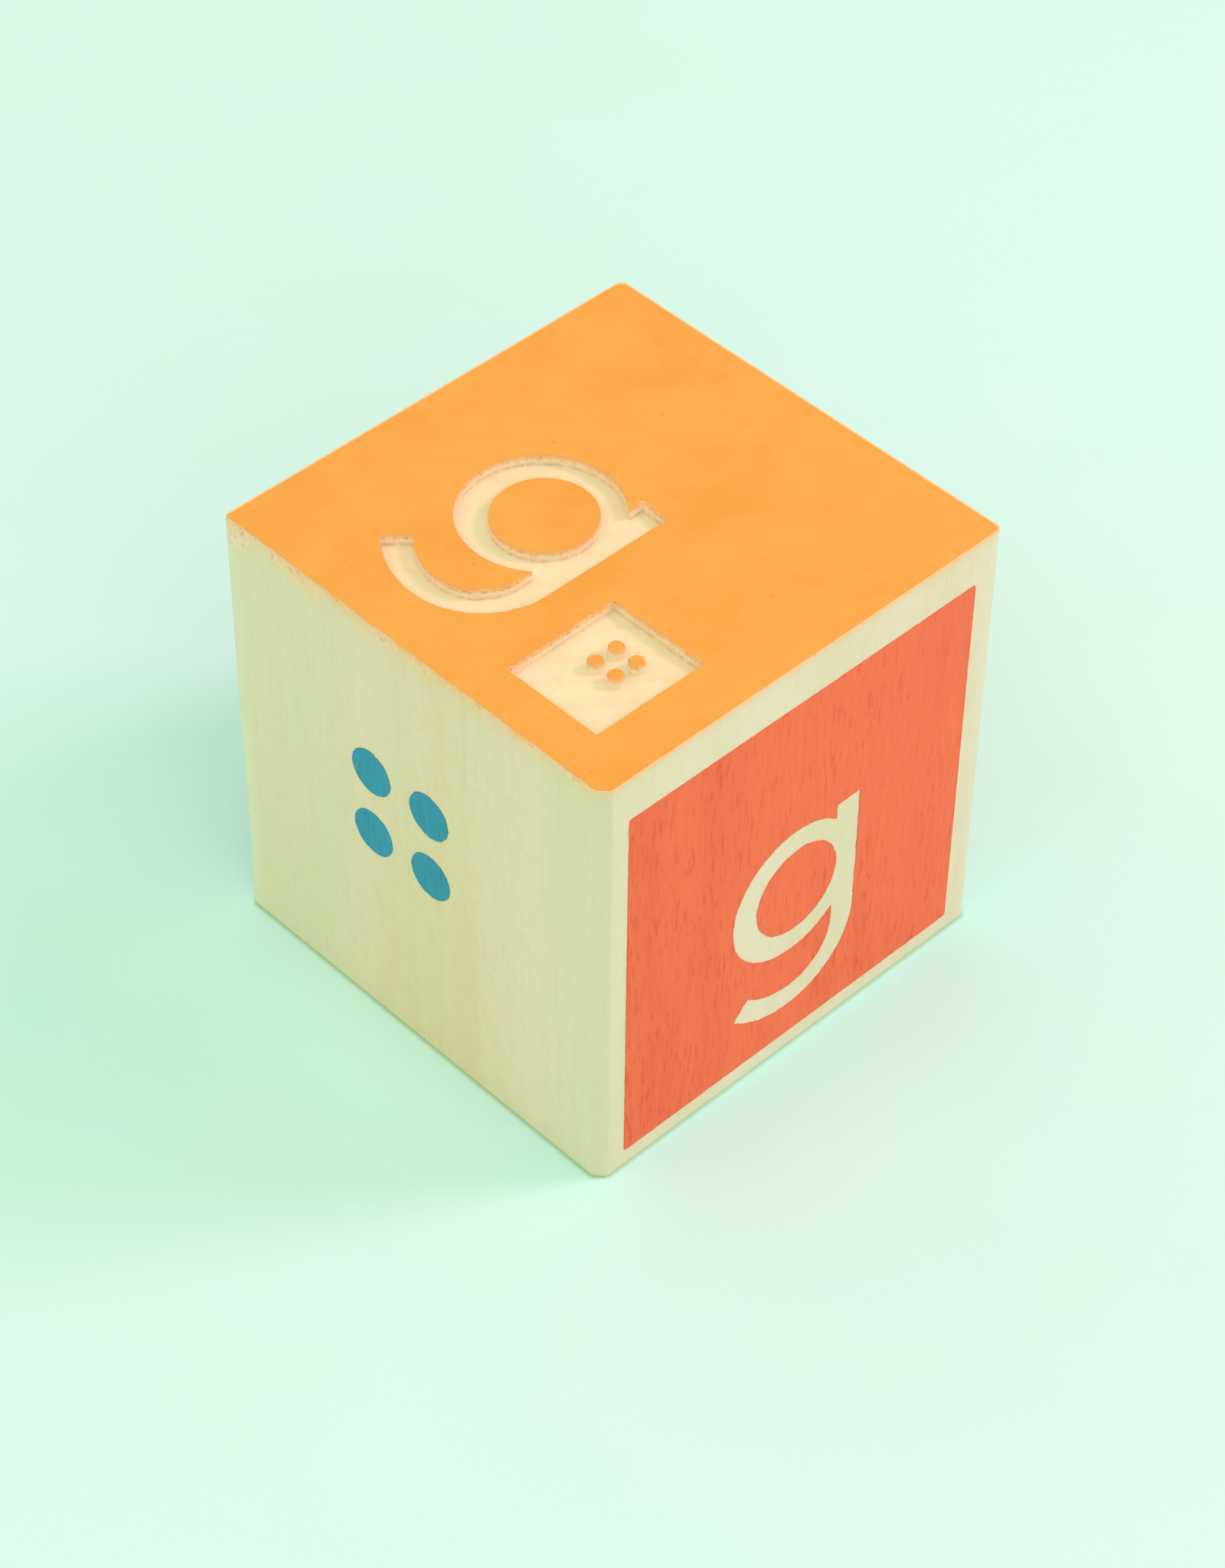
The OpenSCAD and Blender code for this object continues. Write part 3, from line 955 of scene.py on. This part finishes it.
class BLOCK_OT_wood(Operator):
    """Make the wooden cube with its carved top, torn rims and worn edges"""
    bl_idname = "block.wood"
    bl_label = "Wooden cube"

    def execute(self, context):
        sizes = context.scene.block_sizes
        colours = context.scene.block_colours
        rng = np.random.default_rng(5)
        shell = Shell()
        rows, torn = side_walls(sizes)
        shell.band(rows, finish=0, wear=torn)
        points, triangles = fill([rows[0, :, :2]])
        shell.add(on_floor(points), triangles, finish=1)
        cuts = carving(context.scene)
        for cut in cuts.values():
            cut.wall(shell, sizes)
        islands = [name for name in cuts if name not in ("letter", "pocket")]
        plates = [[on_top(rows[-1]), cuts["letter"].rim, cuts["pocket"].rim]]
        plates += [[cuts[name].rim] for name in islands]
        for plate in plates:
            points, triangles = fill(plate)
            shell.add(TOP.place(points), triangles, finish=1)
        dots = [cuts[name] for name in islands[1:]]
        carved_floor(rng, shell, [cuts["letter"], cuts["counter"]], sizes)
        carved_floor(rng, shell, [cuts["pocket"], *dots], sizes)
        rim_fibres(rng, shell, cuts.values(), sizes)
        finishes = [long_grain(colours), end_grain(colours), cut_wall(colours, sizes.carve_depth)]
        shell.build("carved_cube", ["wood_block"], finishes)
        return {"FINISHED"}


def film(face, loops, name, node, material, edge_line, slant=0.0):
    """A layer of ink as thick as its node: the flat region between its outlines, a lower and an
    upper copy of it, and a wall round each outline, slanted inwards by a length. The upper one
    has a line of points a little inside each outline, so that the ink can be thicker along the
    edge, as it is down an upright wall."""
    low, high = corners(node)
    thickness = float(np.abs((high - low) @ face.out))
    shell = Shell()
    below = loops
    loops = [loop - slant * outward(loop) for loop in loops]
    near = np.concatenate([
        loop + side * outward(loop) * edge_line for loop in loops for side in (-1, 1)])
    near = near[inside(near, loops)]
    near = near[closest(near, loops)[0] > 0.8 * edge_line]
    points, triangles = fill(loops, [near])
    edge = smooth(1 - closest(points, loops)[0] / edge_line)
    shell.add(face.place(points, thickness), triangles, wear=edge)
    points, triangles = fill(below)
    shell.add(face.place(points), triangles)
    for lower, upper in zip(below, loops):
        shell.band(np.stack([face.place(lower), face.place(upper, thickness)]), wear=0 if slant else 1)
    shell.build(name, [node], [material])


def coat_outline(rng, sizes):
    """The coat's outer edge, as the top face is read: the top's edge moved inwards by 0.02 mm,
    by 0.16 mm more along the two far sides, and by small chips along the left side."""
    step = 2 * sizes.step
    edge = on_top(side_walls(sizes)[0][-1])
    inward = -outward(soften(edge, step, 0.3 * MM))
    left = np.clip(inward[:, 1], 0, 1) ** 8
    chips = np.clip(0.3 + 0.6 * wander_along(rng, edge, step, 0.2), 0, 2)
    far = np.clip(inward[:, 0], 0, 1) + np.clip(-inward[:, 1], 0, 1)
    back = 0.02 + 0.16 * far
    back = back + 0.012 * np.clip(wander_along(rng, edge, step, 0.3), 0, 2)
    back = back * (1 - left) + (0.004 + 0.03 * chips) * left
    return edge + (back * MM)[:, None] * inward


class BLOCK_OT_coat(Operator):
    """Lay the orange coat on the top, on the island in the letter and on the raised dots"""
    bl_idname = "block.coat"
    bl_label = "Orange coat"

    def execute(self, context):
        scene = context.scene
        sizes = scene.block_sizes
        material = coat_ink(scene.block_colours)
        cuts = carving(scene)
        edge = coat_outline(np.random.default_rng(11), sizes)
        letter, pocket = (cuts[name].coat_edge(sizes.step, 0.09 * MM) for name in ("letter", "pocket"))
        island = cuts["counter"].coat_edge(sizes.step, 0.05 * MM)
        coats = [
            ("coat_on_top", "top_coat", [edge, letter, pocket], 0),
            ("coat_on_island", "top_coat_counter", [island], 0)]
        for index in range(1, 5):
            cap = cuts[f"dot_{index}"].coat_edge(sizes.step, 0)
            coats.append((f"coat_on_dot_{index}", f"dot_cap_{index}", [cap], 0.06 * MM))
        for name, node, loops, slant in coats:
            film(TOP, loops, name, node, material, scene.block_prints.edge_line, slant)
        return {"FINISHED"}


def crept(rng, loop, step, bleed):
    """A print's edge, where ink creeps a little way along the fibres."""
    creep = wander_along(rng, loop, step, 0.09) * 0.6
    creep = creep + wander_along(rng, loop, step, 0.35) * 0.4
    return loop + outward(loop) * (creep * bleed)[:, None]


class BLOCK_OT_panels(Operator):
    """Print the red panel on the front and the blue one on the back, each with a bare letter"""
    bl_idname = "block.panels"
    bl_label = "Printed panels"

    def execute(self, context):
        scene = context.scene
        rng = np.random.default_rng(13)
        prints = scene.block_prints
        letter = scene.block_letter
        step = scene.block_sizes.step
        for side, face, hue in (("front", FRONT, "red"), ("back", BACK, "blue")):
            material = ink(f"{hue}_print", hue, scene.block_colours, 0.68)
            low, high = corners(f"{side}_panel")
            middle = face.read((low + high) / 2)
            width = float(np.abs((high - low) @ face.right))
            centre, radius = node_circle(face, f"{side}_panel_counter")
            outer = box_outline(middle, width, width, prints.panel_corner, step)
            outer = crept(rng, outer, step, prints.bleed)
            outer = np.clip(outer, middle - width / 2, middle + width / 2)
            bare = letter_outline(letter, centre, 0, letter.tail_sweep, step)
            bare = crept(rng, soften(bare, step, 0.05 * MM), step, prints.bleed)
            counter = crept(rng, circle(centre, radius, step), step, prints.bleed)
            for loops, name, node in (
                    ([outer, bare], "panel", "panel"), ([counter], "panel_island", "panel_counter")):
                film(face, loops, f"{hue}_{name}", f"{side}_{node}",
                     material, prints.edge_line)
        return {"FINISHED"}


class BLOCK_OT_dots(Operator):
    """Print the blue dots on the left and the red ones on the right"""
    bl_idname = "block.dots"
    bl_label = "Printed dots"

    def execute(self, context):
        scene = context.scene
        rng = np.random.default_rng(17)
        prints = scene.block_prints
        step = scene.block_sizes.step
        for side, face, hue in (("left", LEFT, "blue"), ("right", RIGHT, "red")):
            material = ink(f"{hue}_dot_print", hue, scene.block_colours, 0.6)
            for index in range(1, 5):
                node = f"{side}_dot_{index}"
                middle, radius = node_circle(face, node)
                loop = crept(rng, circle(middle, radius - prints.bleed, step), step, prints.bleed)
                film(face, [loop], f"{hue}_dot_{index}", node,
                     material, prints.edge_line)
        return {"FINISHED"}


# Camera, lights and paper


class BLOCK_OT_camera(Operator):
    """Stand the camera above the front left edge, looking down at the block"""
    bl_idname = "block.camera"
    bl_label = "Camera"

    def execute(self, context):
        stage = context.scene.block_stage
        turn, rise, roll = stage.turn, stage.rise, stage.roll
        back = np.array([
            math.sin(turn) * math.cos(rise), -math.cos(turn) * math.cos(rise), math.sin(rise)])
        level = np.array([math.cos(turn), math.sin(turn), 0])
        over = np.cross(back, level)
        right = math.cos(roll) * level + math.sin(roll) * over
        up = math.cos(roll) * over - math.sin(roll) * level
        aim = np.array([0, 0, stage.aim_height])
        stand = aim + back * stage.distance + right * stage.shift_right - up * stage.shift_down
        data = bpy.data.cameras.new("camera")
        data.sensor_width = 36
        data.lens = stage.focal
        data.clip_start = 10 * MM
        camera = bpy.data.objects.new("camera", data)
        matrix = np.eye(4)
        matrix[:3] = np.stack([right, up, back, stand], 1)
        camera.matrix_world = Matrix(matrix.tolist())
        context.scene.collection.objects.link(camera)
        context.scene.camera = camera
        return {"FINISHED"}


# Each light's turn, rise, distance and width in metres, and tint
LIGHTS = {
    "key": (54, 42, 0.9, 0.24, (1, 0.436, 0.677)),
    "top": (60, 80, 1.3, 1.2, (1, 0.876, 0.962)),
    "fill": (-100, 50, 1.2, 0.8, (1, 0.627, 0.605)),
    "front": (-35, 42, 1.2, 0.8, (0.775, 0.923, 1)),
}
LIGHT_AIM = (0, 0, 20 * MM)


def softbox(scene, name, power, turn, rise, distance, width, tint):
    """A round light that looks at the block. Its turn from the front towards the right and its
    rise above the floor are in degrees, and its distance is from the floor's middle."""
    turn, rise = math.radians(turn), math.radians(rise)
    level = distance * math.cos(rise)
    stand = Vector((level * math.sin(turn), -level * math.cos(turn), distance * math.sin(rise)))
    data = bpy.data.lights.new(name, "AREA")
    data.shape = "DISK"
    data.size = width
    data.energy = power
    data.color = tint
    light = bpy.data.objects.new(name, data)
    light.location = stand
    light.rotation_euler = (Vector(LIGHT_AIM) - stand).to_track_quat("-Z", "Y").to_euler()
    scene.collection.objects.link(light)


# Soft patches of painted light and shade on the paper, lighter and greener in front of the block
# and beside its left side, darker in the shadow on its left and warmer on its right: middle and
# reach in millimetres, strength, and colour
PAINTED_LIGHT_PATCHES = (
    ((4, -28), (24, 16), 0.6, (0.59, 0.94, 1.0)),
    ((1, -22), (21, 6), 0.55, (0.54, 1.0, 1.0)),
    ((-27, 2), (8, 17), 0.38, (0.66, 1.0, 1.0)),
    ((-44, 24), (12, 15), 0.25, (0.43, 0.75, 0.78)),
    ((54, -18), (20, 22), 0.3, (0.75, 0.86, 0.93)),
)


def beside_block(x, y, sizes):
    """How far a point of the floor lies from the block's outline, in millimetres: the largest of
    the distances to its sides, to its corners' flats, taken as alike, and to the front left flat,
    where the distance across a corner is the sum of X and Y over the square root of 2."""
    half_x, half_y = (HIGH[:2] / MM).tolist()
    corner = half_x + half_y
    alike = 0.4
    broad = sizes.front_left_flat / MM
    beside = (abs(x) - half_x).maths("MAXIMUM", abs(y) - half_y)
    beside = beside.maths("MAXIMUM", (abs(x) + abs(y) - (corner - alike)) / math.sqrt(2))
    return beside.maths("MAXIMUM", (x + y + (corner - broad)) / -math.sqrt(2))


def pale_paper(scene):
    """Pale paper with a fine tooth, faint clouds and soft patches of painted light and shade, each by
    a Gaussian of the distance from its middle, and a thin green shade where it meets the block."""
    finish = Finish("pale_paper")
    tooth = finish.noise(2, 2.0)
    clouds = finish.noise(0.06, 3.0).ease(0.35, 0.65)
    x, y, _ = finish.across()
    colours = scene.block_colours
    tone = finish.over(colours.paper, (clouds * 0.05 + tooth * 0.02, colours.paper_cloud))
    for middle, reach, strength, shade in PAINTED_LIGHT_PATCHES:
        away = ((x - middle[0]) / reach[0]) ** 2 + ((y - middle[1]) / reach[1]) ** 2
        tone = finish.over(tone, ((-away).maths("EXPONENT") * strength, shade))
    beside = beside_block(x, y, scene.block_sizes)
    tone = finish.over(tone, (beside.ease(0.4, 0.05) * 0.5, colours.paper_contact))
    return finish.done(tone, 0.9, tooth, 0.01, 0.1)


class BLOCK_OT_stage(Operator):
    """Lay pale paper under the block and light it softly"""
    bl_idname = "block.stage"
    bl_label = "Stage"

    def execute(self, context):
        scene = context.scene
        stage = scene.block_stage
        paper = bpy.data.meshes.new("paper")
        rim = on_floor(circle((0, 0), stage.paper_radius, stage.paper_radius / 10))
        paper.from_pydata(rim.tolist(), [], [list(range(len(rim)))])
        paper.materials.append(pale_paper(scene))
        floor = bpy.data.objects.new("paper", paper)
        scene.collection.objects.link(floor)
        for name, light in LIGHTS.items():
            softbox(scene, f"{name}_light", getattr(stage, f"{name}_power"), *light)
        world = bpy.data.worlds.new("room")
        world.use_nodes = True
        world.node_tree.nodes["Background"].inputs["Color"].default_value = (*stage.room, 1)
        scene.world = world
        scene.view_settings.view_transform = "Standard"
        return {"FINISHED"}


class BLOCK_PT_sidebar(Panel):
    """Lists the block's pieces, each with its button"""
    bl_idname = "BLOCK_PT_sidebar"
    bl_label = "Alphabet block"
    bl_space_type = "VIEW_3D"
    bl_region_type = "UI"
    bl_category = "Block"

    def draw(self, context):
        for operator in OPERATORS:
            self.layout.operator(operator.bl_idname)
        for group in GROUPS:
            owner = getattr(context.scene, group)
            self.layout.label(text=group.replace("_", " ").capitalize())
            for name in owner.bl_rna.properties.keys():
                if name not in ("rna_type", "name"):
                    self.layout.prop(owner, name)


OPERATORS = (
    BLOCK_OT_camera, BLOCK_OT_wood, BLOCK_OT_coat, BLOCK_OT_panels, BLOCK_OT_dots, BLOCK_OT_stage)
GROUPS = {
    "block_sizes": BlockSizes,
    "block_letter": LetterSizes,
    "block_prints": PrintSizes,
    "block_colours": BlockColours,
    "block_stage": StageSizes,
}
CLASSES = (*GROUPS.values(), *OPERATORS, BLOCK_PT_sidebar)


def register():
    """Registers every class, and hangs each group of properties on the scene."""
    for kind in CLASSES:
        bpy.utils.register_class(kind)
    for name, kind in GROUPS.items():
        setattr(bpy.types.Scene, name, PointerProperty(type=kind))


def unregister():
    """Takes the groups off the scene and unregisters every class."""
    for name in GROUPS:
        delattr(bpy.types.Scene, name)
    for kind in reversed(CLASSES):
        bpy.utils.unregister_class(kind)


def main():
    """Builds the whole block and its stage."""
    register()
    for operator in OPERATORS:
        group, action = operator.bl_idname.split(".")
        getattr(getattr(bpy.ops, group), action)()


if __name__ == "__main__":
    main()
